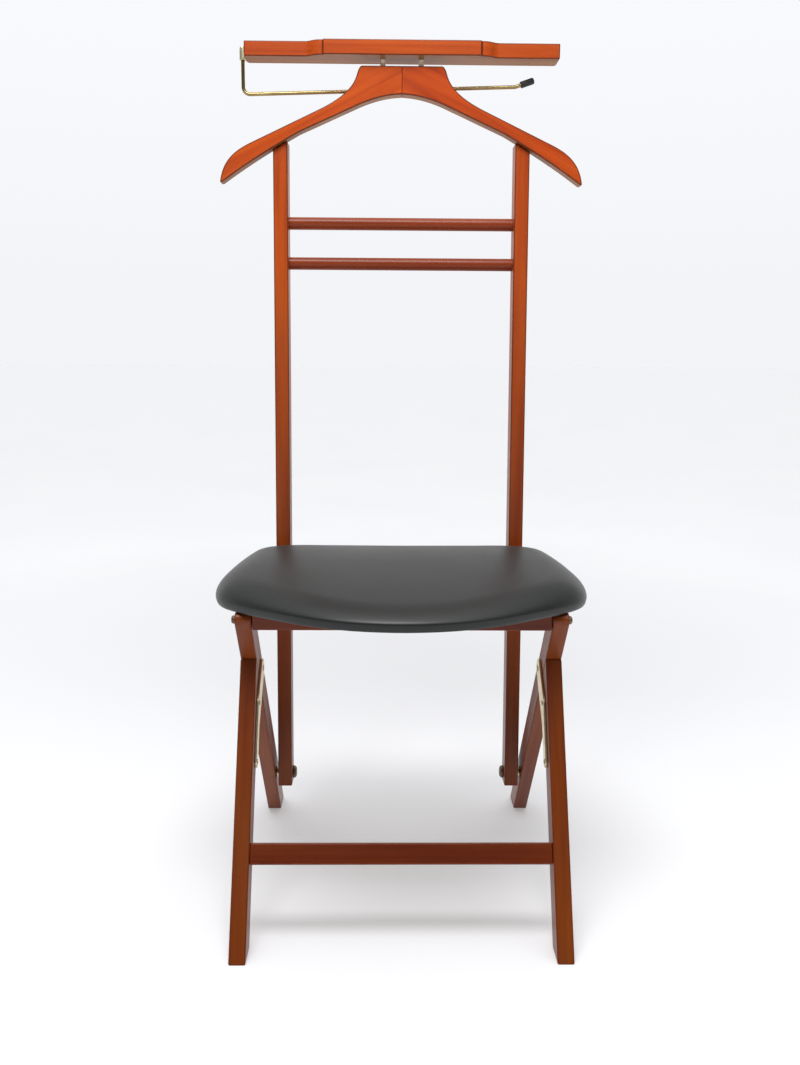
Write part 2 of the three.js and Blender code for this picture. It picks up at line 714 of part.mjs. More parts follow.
/** A rubber cap pushed on to the rod's free end. */
function rodTip() {
  const end = rodCorners().at(-1);
  const outer = 4.4;
  const open = ROD_RADIUS + GAP;
  const cap = turned([
    [0, 3],
    [open, 3],
    [open, -ROD_TIP_LENGTH + 5],
    [outer, -ROD_TIP_LENGTH + 5],
    [outer, 3.5],
    [outer - 1.5, 5],
    [0, 5],
  ], 16);
  return cap.rotateY(radians(90 - ROD_END_RISE)).translate(end.x, end.y, end.z);
}

/** A cap on the rod's top end, which rests on the bracket's eye. */
function rodCap() {
  const base = bracketTop + 0.2;
  const open = ROD_RADIUS + GAP;
  const outer = 4.3;
  const ceiling = ROD_TOP - base + GAP;
  const top = ceiling + 2;
  const cap = turned([
    [0, ceiling],
    [open, ceiling],
    [open, 0],
    [outer, 0],
    [outer, top - 1.5],
    [outer - 1.5, top],
    [0, top],
  ], 16);
  return cap.translate(ROD_PIVOT.x, ROD_PIVOT.y, base);
}

function rod() {
  const group = new THREE.Group();
  group.add(
    mesh('trouser_rod', trouserRod(), brass),
    mesh('rod_cap', rodCap(), brass),
    mesh('rod_tip', rodTip(), rubber),
  );
  return group;
}

// ---------------------------------------------------------------- seat

const REAR_EDGE = 118.2;

/** The seat from above: a bowed front, sides that taper to the rear, round corners. */
function seatOutline(inset, steps = 56) {
  const half = [
    [0, -212], [60, -204], [111, -183], [160, -151], [207, -113], [225, -87], [233, -46],
    [230, 0], [219, 58], [204, 93.5], [176, 113.2], [120, REAR_EDGE],
  ].map(([x, y]) => point(x, y));
  const mirrored = half.slice(1).reverse().map((p) => point(-p.x, p.y));
  const closed = [...half, point(0, REAR_EDGE), ...mirrored];
  const curve = new THREE.CatmullRomCurve3(
    closed.map((p) => new THREE.Vector3(p.x, p.y, 0)), true, 'centripetal');
  const points = curve.getSpacedPoints(steps).slice(0, steps);
  const middle = new THREE.Vector3();
  return points.map((p, i) => {
    const before = points[(i + steps - 1) % steps];
    const after = points[(i + 1) % steps];
    const inward = middle.subVectors(after, before).cross(AXIS.z).normalize().negate();
    return point(p.x + inward.x * inset, p.y + inward.y * inset);
  });
}

function seatBoard() {
  const body = prism(seatOutline(BOARD_INSET), BOARD_THICKNESS).translate(0, 0, SEAT_BOTTOM);
  return cut(body, [
    ...railScrewPlaces.map(([x, y]) => pinAlongZ(
      SEAT_SCREW.shankRadius + PIN_CLEARANCE, SEAT_BOTTOM - 1, SEAT_BOTTOM + 9, x, y, 12)),
    ...hookScrewPlaces.map(([x, y]) => pinAlongZ(
      SEAT_SCREW.shankRadius + PIN_CLEARANCE, SEAT_BOTTOM - 1, SEAT_BOTTOM + 9, x, y, 12)),
  ]);
}

/** The share of the cushion's full height that it has at y. */
function heightShare(y) {
  const { height, from, to } = FRONT_DROP;
  return 1 - height / CUSHION_HEIGHT * (Math.max(0, from - y) / (from - to)) ** 1.5;
}

/** The cushion wraps the board's edge and is open underneath, where the board sits. */
function seatCushion() {
  const under = SEAT_BOTTOM;
  const ceiling = SEAT_BOTTOM + BOARD_THICKNESS + GAP;
  const recess = [
    [BOARD_INSET - 0.4, ceiling],
    [BOARD_INSET - 0.4, under],
    [4, under],
  ].map(([inset, z]) => seatOutline(inset).map((p) => [p.x, p.y, z]));
  const padding = [
    [1, 4],
    [0, 11],
    [2, 23],
    [8, CUSHION_HEIGHT - 12],
    [20, CUSHION_HEIGHT - 5],
    [46, CUSHION_HEIGHT - 1],
  ].map(([inset, height]) => seatOutline(inset).map(
    (p) => [p.x, p.y, under + height * heightShare(p.y)]));
  const middle = -40;
  return loftBetween(
    [...recess, ...padding], [0, middle, ceiling], [0, middle, under + CUSHION_HEIGHT]);
}

/** Joins closed rings with equal numbers of points, and closes each end on a point. */
function loftBetween(rings, firstPole, lastPole) {
  const count = rings[0].length;
  const positions = [firstPole, ...rings.flat(), lastPole].flat();
  const index = [];
  const vertex = (ring, i) => 1 + ring * count + i % count;
  const lastVertex = positions.length / 3 - 1;
  for (let i = 0; i < count; i += 1) {
    index.push(0, vertex(0, i), vertex(0, i + 1));
    index.push(lastVertex, vertex(rings.length - 1, i + 1), vertex(rings.length - 1, i));
    for (let ring = 0; ring < rings.length - 1; ring += 1) {
      const [a, b] = [vertex(ring, i), vertex(ring, i + 1)];
      const [c, d] = [vertex(ring + 1, i), vertex(ring + 1, i + 1)];
      index.push(a, c, b, b, c, d);
    }
  }
  const geometry = new THREE.BufferGeometry();
  geometry.setAttribute('position', new THREE.Float32BufferAttribute(positions, 3));
  geometry.setIndex(index);
  return geometry;
}

const SEAT_SCREW = { headRadius: 3.8, headHeight: 1.8, shankRadius: 1.8, length: 12 };
const railScrewPlaces = [[-120, -108], [120, -108]];

function seatFrontRail() {
  const { front, thickness, bottom, halfWidth } = FRONT_RAIL;
  const top = SEAT_BOTTOM - GAP;
  const bar = block(-halfWidth, halfWidth, front, front + thickness, bottom, top);
  const pinEnd = FRAME_HALF_WIDTH + GAP + SEAT_PIN.headHeight - SEAT_PIN.length - 1;
  const pivotHoles = SIDES.map(([, side]) => pinAlongX(
    BOLT_RADIUS + PIN_CLEARANCE, side * pinEnd, side * (halfWidth + 1), seatPivot.x, seatPivot.y));
  const screwHoles = railScrewPlaces.flatMap(([x, y]) => [
    pinAlongZ(SEAT_SCREW.shankRadius + PIN_CLEARANCE, bottom - 1, top + 1, x, y, 12),
    pinAlongZ(SEAT_SCREW.headRadius + PIN_CLEARANCE, bottom - 1, top - 5, x, y, 16),
  ]);
  return cut(bar, [...pivotHoles, ...screwHoles]);
}

/** A screw driven upwards, with the underside of its head at height z. */
function seatScrew([x, y], z) {
  const screw = fastener(SEAT_SCREW, 12).rotateX(Math.PI);
  return screw.translate(x, y, z - SEAT_SCREW.headHeight);
}

const HOOK = { x: 100, width: 24, thickness: 2.5, yFront: 62, yRear: 162, lip: 11 };
const hookTop = SEAT_BOTTOM - GAP;
const hookScrewPlaces = SIDES.flatMap(([, side]) => [74, 94].map((y) => [side * HOOK.x, y]));

/** A steel strip under the board, turned down behind the back rail. */
function seatHook(side) {
  const { thickness, yFront, yRear, lip, x, width } = HOOK;
  const outline = [
    point(yFront, hookTop - thickness),
    point(yRear - thickness, hookTop - thickness),
    point(yRear - thickness, hookTop - thickness - lip),
    point(yRear, hookTop - thickness - lip),
    point(yRear, hookTop),
    point(yFront, hookTop),
  ];
  const strip = prismAlongX(outline, side * x - width / 2, side * x + width / 2);
  const holes = hookScrewPlaces.filter(([hx]) => hx * side > 0).map(([hx, hy]) => pinAlongZ(
    SEAT_SCREW.shankRadius + PIN_CLEARANCE, hookTop - 10, hookTop + 1, hx, hy, 12));
  return cut(strip, holes);
}

function seat() {
  const group = new THREE.Group();
  group.add(
    mesh('seat_board', seatBoard(), plywood),
    mesh('seat_cushion', seatCushion(), vinyl),
    mesh('seat_front_rail', seatFrontRail(), beech),
  );
  for (const [name, side] of SIDES) {
    group.add(mesh(`seat_hook_${name}`, seatHook(side), steel));
    const railScrew = railScrewPlaces.find(([x]) => x * side > 0);
    group.add(mesh(`rail_screw_${name}`, seatScrew(railScrew, SEAT_BOTTOM - GAP - 5.2), steel));
    hookScrewPlaces.filter(([x]) => x * side > 0).forEach((place, i) => {
      const headSeat = hookTop - HOOK.thickness - 0.2;
      group.add(mesh(`hook_screw_${name}_${i + 1}`, seatScrew(place, headSeat), steel));
    });
  }
  return group;
}

// ---------------------------------------------------------------- the stand

const stand = new THREE.Group();
stand.add(rearLegs(), frontLegs(), backFrame(), rod(), seat());

export default stand;
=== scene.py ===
"""The looks of a folding valet stand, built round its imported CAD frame.

Everything is in metres, in the frame of the CAD part: +Z up, +X to the right of someone who
faces the seat, +Y to the rear, origin on the floor.
"""

import json
import math

import bmesh
import bpy
from mathutils import Euler, Matrix, Vector


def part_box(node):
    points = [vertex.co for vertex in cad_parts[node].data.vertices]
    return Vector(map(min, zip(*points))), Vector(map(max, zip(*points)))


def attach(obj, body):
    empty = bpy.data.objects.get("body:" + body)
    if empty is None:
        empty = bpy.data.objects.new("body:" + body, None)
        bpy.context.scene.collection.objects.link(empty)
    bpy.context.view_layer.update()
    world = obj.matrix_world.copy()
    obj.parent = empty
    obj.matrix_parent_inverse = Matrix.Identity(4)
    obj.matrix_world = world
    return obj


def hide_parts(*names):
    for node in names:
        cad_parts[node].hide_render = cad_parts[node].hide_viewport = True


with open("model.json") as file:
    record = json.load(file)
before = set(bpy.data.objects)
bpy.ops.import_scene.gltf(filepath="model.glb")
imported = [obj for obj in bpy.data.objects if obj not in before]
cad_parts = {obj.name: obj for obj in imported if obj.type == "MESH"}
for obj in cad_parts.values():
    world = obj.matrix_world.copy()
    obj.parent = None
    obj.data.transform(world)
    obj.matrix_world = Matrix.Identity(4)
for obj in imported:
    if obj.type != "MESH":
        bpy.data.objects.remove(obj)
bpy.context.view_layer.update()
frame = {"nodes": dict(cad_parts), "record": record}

MM = 0.001
NODE_BODY = {
    node: body
    for body, members in frame["record"]["behaviour"]["bodies"].items()
    for node in members
}
SIDES = (("left", -1), ("right", 1))


# ------------------------------------------------------------------ camera

CAMERA_PLACE = Vector((-0.022, -1.314, 0.694))
CAMERA_PITCH = math.radians(9.82)     # downwards
CAMERA_YAW = math.radians(0.89)       # to the right
CAMERA_ROLL = math.radians(0.35)
CAMERA_LENS = 34.82                   # mm, on a sensor whose long side is 36 mm


def make_camera():
    data = bpy.data.cameras.new("camera")
    data.sensor_width = 36
    data.lens = CAMERA_LENS
    camera = bpy.data.objects.new("camera", data)
    bpy.context.scene.collection.objects.link(camera)
    ahead = Vector((
        math.sin(CAMERA_YAW) * math.cos(CAMERA_PITCH),
        math.cos(CAMERA_YAW) * math.cos(CAMERA_PITCH),
        -math.sin(CAMERA_PITCH),
    ))
    turn = ahead.to_track_quat("-Z", "Y").to_matrix().to_4x4()
    roll = Matrix.Rotation(CAMERA_ROLL, 4, "Z")
    camera.matrix_world = Matrix.Translation(CAMERA_PLACE) @ turn @ roll
    bpy.context.scene.camera = camera


# ------------------------------------------------------------------ node tree helpers

class Tree:
    """A node tree, with short calls for the nodes that the materials and the world share."""

    def __init__(self, tree):
        self.tree = tree

    def link(self, source, target):
        self.tree.links.new(source, target)

    def new(self, kind, **properties):
        node = self.tree.nodes.new(kind)
        for name, value in properties.items():
            setattr(node, name, value)
        return node

    def coordinates(self, kind="Object"):
        return self.new("ShaderNodeTexCoord").outputs[kind]

    def parts(self, vector):
        """The outputs X, Y and Z of a vector."""
        node = self.new("ShaderNodeSeparateXYZ")
        self.link(vector, node.inputs["Vector"])
        return node.outputs

    def place(self, grain=(0, 0, 1), offset=(0, 0, 0)):
        """Object coordinates, turned so that Z runs along the grain."""
        mapping = self.new("ShaderNodeMapping", vector_type="TEXTURE")
        turn = Vector((0, 0, 1)).rotation_difference(Vector(grain)).to_euler()
        mapping.inputs["Rotation"].default_value = turn
        mapping.inputs["Location"].default_value = offset
        self.link(self.coordinates(), mapping.inputs["Vector"])
        return mapping.outputs["Vector"]

    def stretch(self, vector, across, along):
        """Scales the place by counts per metre across and along the grain."""
        mapping = self.new("ShaderNodeMapping")
        mapping.inputs["Scale"].default_value = (across, across, along)
        self.link(vector, mapping.inputs["Vector"])
        return mapping.outputs["Vector"]

    def noise(self, vector, scale=1.0, detail=2.0, roughness=0.5, distortion=0.0):
        node = self.new("ShaderNodeTexNoise")
        node.inputs["Scale"].default_value = scale
        node.inputs["Detail"].default_value = detail
        node.inputs["Roughness"].default_value = roughness
        node.inputs["Distortion"].default_value = distortion
        self.link(vector, node.inputs["Vector"])
        return node.outputs["Fac"]

    def voronoi(self, vector, scale, feature="F1"):
        node = self.new("ShaderNodeTexVoronoi", feature=feature)
        node.inputs["Scale"].default_value = scale
        self.link(vector, node.inputs["Vector"])
        return node.outputs["Distance"]

    def ramp(self, value, *stops):
        """A colour for each value, from stops of (value, colour)."""
        node = self.new("ShaderNodeValToRGB")
        elements = node.color_ramp.elements
        while len(elements) < len(stops):
            elements.new(0.5)
        for element, (position, colour) in zip(elements, stops):
            element.position = position
            element.color = (*colour, 1)
        self.link(value, node.inputs["Fac"])
        return node.outputs["Color"]

    def range(self, value, low, high, start=0.0, end=1.0, curve="LINEAR"):
        """Runs from low to high while the value runs from start to end, and stays so beyond."""
        node = self.new("ShaderNodeMapRange", interpolation_type=curve)
        node.inputs["From Min"].default_value = start
        node.inputs["From Max"].default_value = end
        node.inputs["To Min"].default_value = low
        node.inputs["To Max"].default_value = high
        self.link(value, node.inputs["Value"])
        return node.outputs["Result"]

    def mix(self, share, a, b, blend="MIX"):
        """Mixes two colours. Share is a number or an output, and so is each colour."""
        node = self.new("ShaderNodeMix", data_type="RGBA", blend_type=blend)
        for socket, value in ((node.inputs[0], share), (node.inputs[6], a), (node.inputs[7], b)):
            if isinstance(value, bpy.types.NodeSocket):
                self.link(value, socket)
            elif isinstance(value, (int, float)):
                socket.default_value = value
            else:
                socket.default_value = (*value, 1)
        return node.outputs[2]

    def math(self, operation, a, b):
        node = self.new("ShaderNodeMath", operation=operation)
        for socket, value in zip(node.inputs, (a, b)):
            if isinstance(value, (int, float)):
                socket.default_value = value
            else:
                self.link(value, socket)
        return node.outputs["Value"]

    def bump(self, height, distance, strength=1.0, below=None):
        node = self.new("ShaderNodeBump")
        node.inputs["Strength"].default_value = strength
        node.inputs["Distance"].default_value = distance
        self.link(height, node.inputs["Height"])
        if below is not None:
            self.link(below, node.inputs["Normal"])
        return node.outputs["Normal"]


class Nodes(Tree):
    """A material's node tree, round one Principled shader."""

    def __init__(self, name):
        self.material = bpy.data.materials.new(name)
        self.material.use_nodes = True
        super().__init__(self.material.node_tree)
        self.shader = self.tree.nodes["Principled BSDF"]

    def set(self, **values):
        """Sets sockets of the shader by name, with _ for each space."""
        for name, value in values.items():
            self.shader.inputs[name.replace("_", " ")].default_value = value

    def colour(self, output):
        self.link(output, self.shader.inputs["Base Color"])

    def roughness(self, output):
        self.link(output, self.shader.inputs["Roughness"])

    def normal(self, output):
        self.link(output, self.shader.inputs["Normal"])


# ------------------------------------------------------------------ materials

STAIN_LIGHT = (0.62, 0.105, 0.012)
STAIN_MID = (0.50, 0.072, 0.007)
STAIN_DARK = (0.34, 0.040, 0.006)
FLECK_SHADE = 0.35                  # a pore's colour, as a share of the dark stain
LOW_WOOD, HIGH_WOOD = 0.20, 0.85    # a tall bar turns darker downwards between these two heights: painted shade, as less light reaches low down and under the seat
SEED_STEP = (0.37, 0.61, 0.23)      # metres from one piece's place in the grain to the next's

# Tints multiply the stain. The legs' and the low bars' tints are partly painted shade, and those of
# the edges and the undersides are painted shade.
LIGHT_TINT = (0.84, 0.84, 0.74)
HANGER_TINTS = {"left": (1.02, 1.0, 0.85), "right": (0.96, 0.86, 0.85)}
RUNG_TINT = (0.50, 0.50, 0.45)
# partly a deeper stain and partly painted shade, for the legs, which get less light low down
LEG_STAIN_AND_SHADE_TINT = (0.40, 0.54, 0.50)
# partly a deeper stain and partly painted shade, for the low stretcher and the rail in the seat's
# shadow
DEEP_STAIN_AND_SHADE_TINT = (0.29, 0.31, 0.42)
# painted shade on the rounded edges
EDGE_SHADE_TINT = (0.34, 0.38, 0.50)
# painted shade on the faces that look down
UNDERSIDE_SHADE_TINT = (0.58, 1.30, 0.90)


def stained_beech(name, grain, seed, tint, shaded_low_tint=None, varnish=1.0):
    """Beech under a red-brown stain and a gloss varnish, with its grain along one direction.

    The stain is multiplied by tint, which turns to a darker low tint towards a tall bar's lower end:
    painted shade, as less light reaches low down.
    A varnish under 1 is a thinner coat with less shine.
    """
    m = Nodes("beech_" + name)
    place = m.place(grain, offset=tuple(step * seed for step in SEED_STEP))
    streaks = m.noise(m.stretch(place, 75, 3.2), detail=4, roughness=0.55, distortion=0.35)
    fibres = m.noise(m.stretch(place, 900, 24), detail=3, roughness=0.6)
    patches = m.noise(m.stretch(place, 9, 4), detail=2)
    flecks = m.voronoi(m.stretch(place, 760, 150), 1.0)

    base = m.ramp(streaks, (0.30, STAIN_DARK), (0.47, STAIN_MID), (0.72, STAIN_LIGHT))
    base = m.mix(m.range(patches, 0.0, 0.4, 0.35, 0.75), base, STAIN_DARK)
    base = m.mix(m.range(fibres, 0.0, 0.32, 0.45, 0.75), base, STAIN_DARK)
    fleck_mask = m.range(flecks, 0.35, 0.0, 0.03, 0.17)
    base = m.mix(fleck_mask, base, tuple(channel * FLECK_SHADE for channel in STAIN_DARK))
    # painted shade: a tall bar's tint turns darker towards its lower end
    level = m.range(m.parts(m.coordinates())["Z"], 0.0, 1.0, LOW_WOOD, HIGH_WOOD)
    m.colour(m.mix(1.0, base, m.mix(level, shaded_low_tint or tint, tint), "MULTIPLY"))

    m.roughness(m.range(patches, 0.34, 0.46, 0.3, 0.7))
    m.set(Coat_Weight=0.12 * varnish, Coat_Roughness=0.16)
    m.set(IOR=1.42, Specular_IOR_Level=0.32 * varnish)
    waves = m.bump(m.noise(m.stretch(place, 34, 7), detail=1), 0.25 * MM, 0.35)
    m.normal(m.bump(fibres, 0.05 * MM, 0.35, below=waves))
    return m.material


def plywood():
    """The seat board: a pale veneer, with its plies showing as stripes at the edges."""
    m = Nodes("plywood")
    place = m.place((0, 1, 0))
    figure = m.noise(m.stretch(place, 26, 3), detail=5, roughness=0.6, distortion=0.6)
    fibres = m.noise(m.stretch(place, 800, 22), detail=2)
    face = m.ramp(
        figure, (0.3, (0.36, 0.22, 0.11)), (0.5, (0.52, 0.36, 0.20)), (0.7, (0.62, 0.45, 0.27)))
    plies = m.new("ShaderNodeTexWave", wave_type="BANDS", bands_direction="Z")
    plies.inputs["Scale"].default_value = 105
    m.link(m.coordinates(), plies.inputs["Vector"])
    edge = m.mix(plies.outputs["Fac"], (0.30, 0.17, 0.08), (0.58, 0.41, 0.24))
    m.colour(m.mix(m.range(fibres, 0, 0.35), m.mix(0.35, face, edge), (0.28, 0.17, 0.09)))
    m.roughness(m.range(figure, 0.6, 0.8))
    m.normal(m.bump(fibres, 0.08 * MM, 0.5))
    return m.material


def brass(name, colour, tarnish, dull, metallic=1.0):
    """Lacquered brass, with darker tarnish in soft patches and fine rubbed lines."""
    m = Nodes(name)
    place = m.place()
    patches = m.noise(m.stretch(place, 60, 60), detail=4, roughness=0.6)
    rubbed = m.noise(m.stretch(place, 1400, 90), detail=2)
    m.colour(m.mix(m.range(patches, 0.0, 0.75, 0.42, 0.78), colour, tarnish))
    m.roughness(m.math("ADD", m.range(patches, dull, dull + 0.16), m.range(rubbed, -0.04, 0.05)))
    m.set(Metallic=metallic)
    m.normal(m.bump(rubbed, 0.03 * MM, 0.3))
    return m.material


def zinc_steel():
    """Zinc-plated steel, with faint spangles under a haze."""
    m = Nodes("zinc_steel")
    place = m.place()
    spangle = m.voronoi(place, 300)
    haze = m.noise(place, 90, detail=3)
    m.colour(m.mix(m.range(haze, 0, 1), (0.46, 0.45, 0.42), (0.66, 0.65, 0.63)))
    m.roughness(m.math("ADD", m.range(spangle, 0.28, 0.42), m.range(haze, -0.05, 0.08)))
    m.set(Metallic=1.0)
    m.normal(m.bump(haze, 0.05 * MM, 0.3))
    return m.material


def black_vinyl():
    """Upholstery vinyl: an embossed leather grain of fine cells, and soft handling sheen."""
    m = Nodes("black_vinyl")
    place = m.place()
    cells = m.voronoi(place, 620, "DISTANCE_TO_EDGE")
    creases = m.noise(place, 210, detail=4, roughness=0.6, distortion=0.8)
    patches = m.noise(place, 7, detail=2)
    grain = m.range(cells, 0.0, 1.0, 0.0, 0.22)
    tint = m.mix(m.range(patches, 0, 1, 0.3, 0.7), (0.014, 0.015, 0.015), (0.022, 0.024, 0.023))
    # painted shade: the grain's furrows, along the cells' edges, are painted darker
    m.colour(m.mix(m.range(cells, 0.5, 0.0, 0.0, 0.1), tint, (0.006, 0.006, 0.006)))
    m.roughness(m.math("ADD", m.range(patches, 0.33, 0.41, 0.3, 0.7), m.range(creases, -0.03, 0.05)))
    m.set(IOR=1.40, Sheen_Weight=0.05, Sheen_Roughness=0.5)
    soft = m.bump(creases, 0.12 * MM, 0.22)
    m.normal(m.bump(grain, 0.09 * MM, 0.4, below=soft))
    return m.material


def black_rubber():
    """Moulded rubber, greyed here and there by bloom."""
    m = Nodes("black_rubber")
    place = m.place()
    skin = m.noise(place, 900, detail=3)
    bloom = m.noise(place, 60, detail=3)
    m.colour(m.mix(m.range(bloom, 0.0, 0.8, 0.4, 0.8), (0.012, 0.012, 0.012), (0.035, 0.034, 0.033)))
    m.roughness(m.range(bloom, 0.42, 0.6))
    m.normal(m.bump(skin, 0.06 * MM, 0.4))
    return m.material


LEG_LEANS = {"rear_leg": -39.5, "front_leg": 25.5, "upright": 3.2}   # degrees, top towards +Y
ARM_SLOPE = 27      # degrees, of the hanger's arms


def lean_direction(degrees):
    """Up along a bar that leans from the vertical towards +Y."""
    return (0, math.sin(math.radians(degrees)), math.cos(math.radians(degrees)))


def wood_materials():
    """A beech material for each wooden node by name, besides the darker ones that are painted shade
    on edges and undersides.
    """
    found = {}
    for index, (kind, lean) in enumerate(LEG_LEANS.items()):
        for name, side in SIDES:
            seed = 1 + 2 * index + (side > 0)
            tint = LIGHT_TINT if kind == "upright" else LEG_STAIN_AND_SHADE_TINT
            found[f"{kind}_{name}"] = stained_beech(
                f"{kind}_{name}", lean_direction(lean), seed, tint, LEG_STAIN_AND_SHADE_TINT)
    tints = {
        "rung_upper": RUNG_TINT, "rung_lower": RUNG_TINT, "back_rail": RUNG_TINT,
        "tray": LIGHT_TINT, "front_stretcher": DEEP_STAIN_AND_SHADE_TINT, "seat_front_rail": DEEP_STAIN_AND_SHADE_TINT,
    }
    for index, (node, tint) in enumerate(tints.items()):
        found[node] = stained_beech(node, (1, 0, 0), 11 + index, tint)
    for name, side in SIDES:
        slope = math.radians(ARM_SLOPE)
        arm = (side * math.cos(slope), 0, -math.sin(slope))
        found[f"hanger_{name}"] = stained_beech(f"hanger_{name}", arm, 23 + side, HANGER_TINTS[name])
    # painted shade: a darker copy of the stain for the rounded edges
    stained_beech("edges", (0, 0, 1), 31, EDGE_SHADE_TINT, EDGE_SHADE_TINT)
    # painted shade: a darker, duller copy of the stain for the faces that look down
    stained_beech("undersides", (1, 0, 0), 37, UNDERSIDE_SHADE_TINT, varnish=0.6)
    return found


# ------------------------------------------------------------------ mesh helpers

EDGE_SHADE_INDEX = 1                 # painted shade: a darker copy of the stain, on a wooden piece's rounded edges
UNDERSIDE_SHADE_INDEX = 2                # painted shade: a darker, duller copy of the stain, below the hanger and the tray
SAME_CORNER = 0.01 * MM        # corners nearer than this are one
WELD_DISTANCE = 0.005 * MM


def piece(name, mesh_data, material, node, slot):
    """A visible piece that stands for a CAD node and rides on its body."""
    made = bpy.data.objects.new(name, mesh_data)
    bpy.context.scene.collection.objects.link(made)
    made.data.materials.append(material)
    if slot == "stained_beech":
        # painted shade: the darker copies of the stain, for rounded edges and undersides
        made.data.materials.append(bpy.data.materials["beech_edges"])
        made.data.materials.append(bpy.data.materials["beech_undersides"])
    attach(made, NODE_BODY[node])
    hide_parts(node)
    return made


def smooth(mesh_data, sharp_degrees=32):
    mesh_data.shade_smooth()
    mesh_data.set_sharp_from_angle(angle=math.radians(sharp_degrees))


def weight_normals(made):
    modifier = made.modifiers.new("weighted_normals", "WEIGHTED_NORMAL")
    modifier.keep_sharp = True


def to_mesh(name, shape):
    bmesh.ops.recalc_face_normals(shape, faces=shape.faces)
    data = bpy.data.meshes.new(name)
    shape.to_mesh(data)
    shape.free()
    return data


def paint_underside_shade(shape):
    """Gives the faces that look down a darker, duller copy of the stain: painted shade under things.
    """
    for face in shape.faces:
        if face.normal.z < -0.5:
            face.material_index = UNDERSIDE_SHADE_INDEX


def bevel(shape, edges, radius, segments=3):
    bmesh.ops.bevel(
        shape, geom=edges, offset=radius, segments=segments, profile=0.5,
        affect="EDGES", clamp_overlap=True, material=EDGE_SHADE_INDEX)


def sharp_edges(shape, degrees=28):
    """The edges where two faces meet at more than an angle."""
    least = math.radians(degrees)
    return [
        edge for edge in shape.edges
        if len(edge.link_faces) == 2 and edge.calc_face_angle() > least
    ]


def hull_of_node(node, keep):
    """The convex solid round a CAD node's corners: a bar without its hidden holes."""
    shape = bmesh.new()
    for vertex in frame["nodes"][node].data.vertices:
        if keep(vertex.co):
            shape.verts.new(vertex.co)
    bmesh.ops.remove_doubles(shape, verts=shape.verts, dist=SAME_CORNER)
    hull = bmesh.ops.convex_hull(shape, input=shape.verts)
    inside = [item for item in hull["geom_interior"] if isinstance(item, bmesh.types.BMVert)]
    bmesh.ops.delete(shape, geom=inside, context="VERTS")
    loose = [vertex for vertex in shape.verts if not vertex.link_faces]
    bmesh.ops.delete(shape, geom=loose, context="VERTS")
    bmesh.ops.dissolve_limit(
        shape, angle_limit=math.radians(2), verts=shape.verts, edges=shape.edges)
    return shape


def wooden_piece(node, shape, material):
    """The wood that stands for a node, from a shape whose edges are rounded."""
    data = to_mesh(node + "_wood", shape)
    smooth(data)
    weight_normals(piece(node + "_wood", data, material, node, "stained_beech"))


def wooden_bar(node, material, radius=1.6 * MM, keep=lambda corner: True):
    """A bar with rounded edges, as long as those of its CAD corners that are kept."""
    shape = hull_of_node(node, keep)
    bevel(shape, sharp_edges(shape), radius)
    wooden_piece(node, shape, material)


def join_rings(shape, lower, upper):
    """Faces between two closed rings of corners. A ring of one corner is a pole."""
    count = max(len(lower), len(upper))
    for i in range(count):
        following = (i + 1) % count
        corners = (
            lower[i % len(lower)], lower[following % len(lower)],
            upper[following % len(upper)], upper[i % len(upper)],
        )
        shape.faces.new(list(dict.fromkeys(corners)))


def prism(outline, low, high, to_place):
    """An outline of 2-D points, extruded between two heights. to_place(u, v, w) gives points."""
    shape = bmesh.new()
    rings = [[shape.verts.new(to_place(u, v, w)) for u, v in outline] for w in (low, high)]
    join_rings(shape, *rings)
    for ring in rings:
        shape.faces.new(ring)
    bmesh.ops.recalc_face_normals(shape, faces=shape.faces)
    return shape


def bezier(start, a, b, end, steps):
    """Points on a cubic curve, without its start."""
    points = []
    for k in range(1, steps + 1):
        t = k / steps
        weights = ((1 - t) ** 3, 3 * t * (1 - t) ** 2, 3 * t * t * (1 - t), t ** 3)
        points.append(tuple(
            sum(w * p[axis] for w, p in zip(weights, (start, a, b, end))) for axis in (0, 1)))
    return points


def quadratic(start, middle, end, steps):
    """Points on a quadratic curve, without its start."""
    a = tuple(s + (m - s) * 2 / 3 for s, m in zip(start, middle))
    b = tuple(e + (m - e) * 2 / 3 for e, m in zip(end, middle))
    return bezier(start, a, b, end, steps)


def turned(name, profile, place, direction, material, node, slot, sides=48):
    """A turned piece: profile of (radius, height) from end to end, standing along direction."""
    shape = bmesh.new()
    rings = []
    for radius, height in profile:
        if radius == 0:
            rings.append([shape.verts.new((0, 0, height))])
            continue
        rings.append([
            shape.verts.new((
                radius * math.cos(2 * math.pi * i / sides),
                radius * math.sin(2 * math.pi * i / sides),
                height,
            )) for i in range(sides)
        ])
    for lower, upper in zip(rings, rings[1:]):
        join_rings(shape, lower, upper)
    turn = Vector((0, 0, 1)).rotation_difference(Vector(direction)).to_matrix().to_4x4()
    bmesh.ops.transform(shape, matrix=Matrix.Translation(place) @ turn, verts=shape.verts)
    data = to_mesh(name, shape)
    smooth(data, sharp_degrees=40)
    piece(name, data, material, node, slot)


def paint_node(node, material):
    data = frame["nodes"][node].data
    data.materials.clear()
    data.materials.append(material)


# ------------------------------------------------------------------ wood

INNER_LEG = 179.8 * MM         # just past the stretcher's shoulders, but short of its tenons' ends
INNER_UPRIGHT = 155.8 * MM     # and the same for the back rail between the uprights
UPRIGHT_HALF = 10 * MM         # half an upright's width
RUNG_LET_IN = 1 * MM
HANGER_ROUNDING = 2.2 * MM
TRAY_ROUNDING = 1.4 * MM
CURVE_STEPS = 14               # points on each curve of the hanger and the tray
SEAM_HALF = 0.5 * MM           # half the dark groove where the hanger's halves meet


